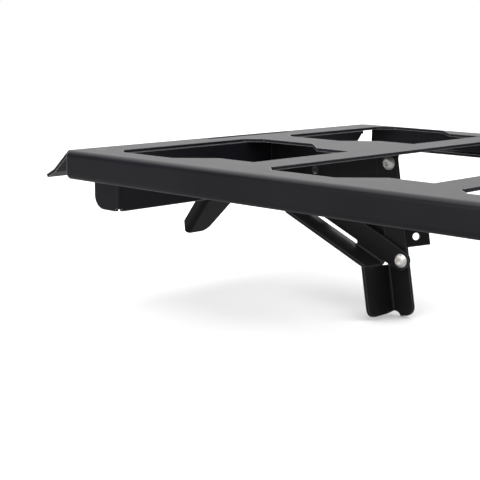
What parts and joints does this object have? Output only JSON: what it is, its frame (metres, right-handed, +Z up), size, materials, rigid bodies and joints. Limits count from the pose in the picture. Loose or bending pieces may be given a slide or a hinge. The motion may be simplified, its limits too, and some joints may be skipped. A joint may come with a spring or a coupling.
{
  "type": "folding luggage rack",
  "caption": "Flat bent-sheet luggage deck with windows, flared ends, end skirts, folding braced legs and swing hooks underneath.",
  "frame": {"origin": "middle of the deck's flat top face", "axes": "+X along the length towards the right end, +Y away from the viewer's near flange to the far flange, +Z up out of the top face"},
  "size_m": [0.6474, 0.351, 0.1246],
  "materials": {
    "black_powder_coat": "satin, fine orange-peel powder coat",
    "stainless_bolt": "bright stainless",
    "zinc_plated": "dull zinc plate",
    "black_rivet": "satin black"
  },
  "bodies": {
    "rack": {"rack_deck": "black_powder_coat", "skirt_rivets": "black_rivet", "left_end_skirt": "black_powder_coat", "left_leg_rail": "black_powder_coat", "left_pivot_bolt": "stainless_bolt", "left_pivot_washer": "zinc_plated", "left_hook_pin": "zinc_plated", "right_end_skirt": "black_powder_coat", "right_leg_rail": "black_powder_coat", "right_pivot_bolt": "stainless_bolt", "right_pivot_washer": "zinc_plated", "right_hook_pin": "zinc_plated"},
    "left_leg": {"left_leg": "black_powder_coat", "left_brace_bolt": "stainless_bolt", "left_brace_washer": "zinc_plated"},
    "left_brace": {"left_brace": "black_powder_coat", "left_guide_pin": "zinc_plated", "left_guide_spacer": "zinc_plated", "left_guide_clip": "zinc_plated"},
    "left_hook": {"left_swing_hook": "black_powder_coat"},
    "right_leg": {"right_leg": "black_powder_coat", "right_brace_bolt": "stainless_bolt", "right_brace_washer": "zinc_plated"},
    "right_brace": {"right_brace": "black_powder_coat", "right_guide_pin": "zinc_plated", "right_guide_spacer": "zinc_plated", "right_guide_clip": "zinc_plated"},
    "right_hook": {"right_swing_hook": "black_powder_coat"}
  },
  "joints": [
    {"name": "left_leg_fold", "type": "hinge", "parent": "rack", "child": "left_leg", "pos_m": [-0.1468, 0.01275, -0.011], "axis": [0, -1, 0], "range_deg": [0, 66]},
    {"name": "left_brace_swing", "type": "hinge", "parent": "left_leg", "child": "left_brace", "pos_m": [-0.13101, 0.00975, -0.08214], "axis": [0, -1, 0], "range_deg": [-31, 0]},
    {"name": "left_hook_swing", "type": "hinge", "parent": "rack", "child": "left_hook", "pos_m": [-0.2755, -0.0113, -0.014], "axis": [0, -1, 0], "range_deg": [0, 35]},
    {"name": "right_leg_fold", "type": "hinge", "parent": "rack", "child": "right_leg", "pos_m": [0.1468, 0.01275, -0.011], "axis": [0, 1, 0], "range_deg": [0, 66]},
    {"name": "right_brace_swing", "type": "hinge", "parent": "right_leg", "child": "right_brace", "pos_m": [0.13101, 0.00975, -0.08214], "axis": [0, 1, 0], "range_deg": [-31, 0]},
    {"name": "right_hook_swing", "type": "hinge", "parent": "rack", "child": "right_hook", "pos_m": [0.2755, -0.0113, -0.014], "axis": [0, 1, 0], "range_deg": [0, 35]}
  ],
  "couplings": [
    {"joint": "left_brace_swing", "follows": "left_leg_fold", "ratio": -0.4697},
    {"joint": "right_brace_swing", "follows": "right_leg_fold", "ratio": -0.4697}
  ]
}
